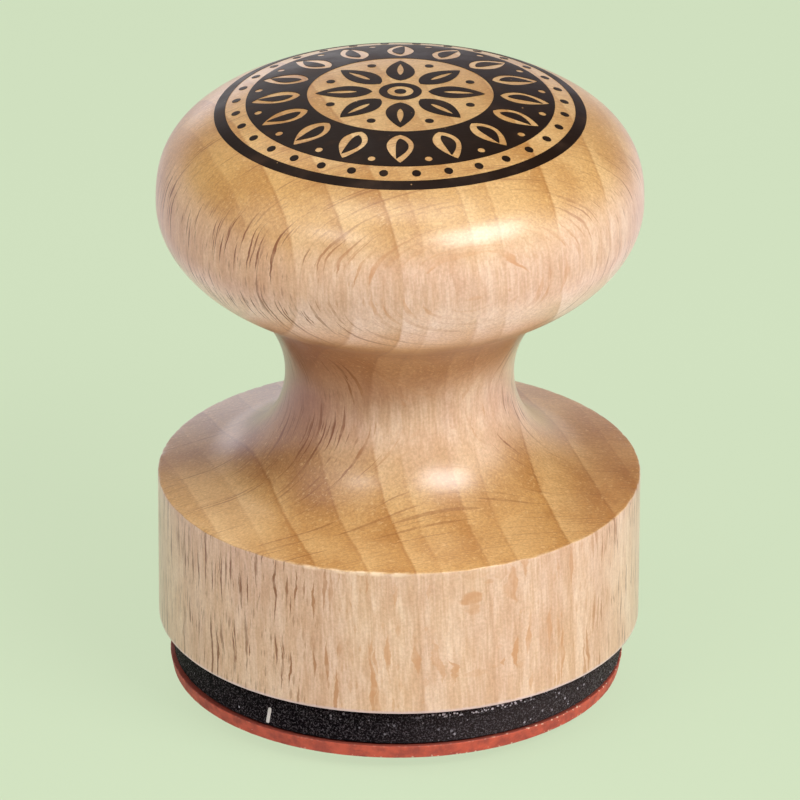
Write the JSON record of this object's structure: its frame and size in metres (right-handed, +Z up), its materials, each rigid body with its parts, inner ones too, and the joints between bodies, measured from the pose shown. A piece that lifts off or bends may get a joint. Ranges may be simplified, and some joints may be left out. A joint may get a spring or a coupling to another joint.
{
  "type": "hand stamp",
  "caption": "Round hand stamp with a turned beech handle, a foam cushion and an engraved rubber die that prints a rosette.",
  "frame": {"origin": "centre of the printing face, on the surface the stamp stands on", "axes": "+Z up along the turning axis, from the rubber die to the knob; -Y is the side that the picture shows"},
  "size_m": [0.04, 0.04, 0.0525],
  "materials": {
    "beech": "steamed beech, fine turned, clear semi-gloss lacquer",
    "foam": "black closed-cell foam, die cut, fine grained edge",
    "adhesive_film": "thin milky double-sided adhesive film",
    "die_rubber": "brick red engraved rubber, matte"
  },
  "bodies": {
    "root": {"turned_handle": "beech", "cushion_adhesive_film": "adhesive_film", "foam_cushion": "foam", "die_adhesive_film": "adhesive_film", "rubber_die": "die_rubber"}
  },
  "joints": []
}
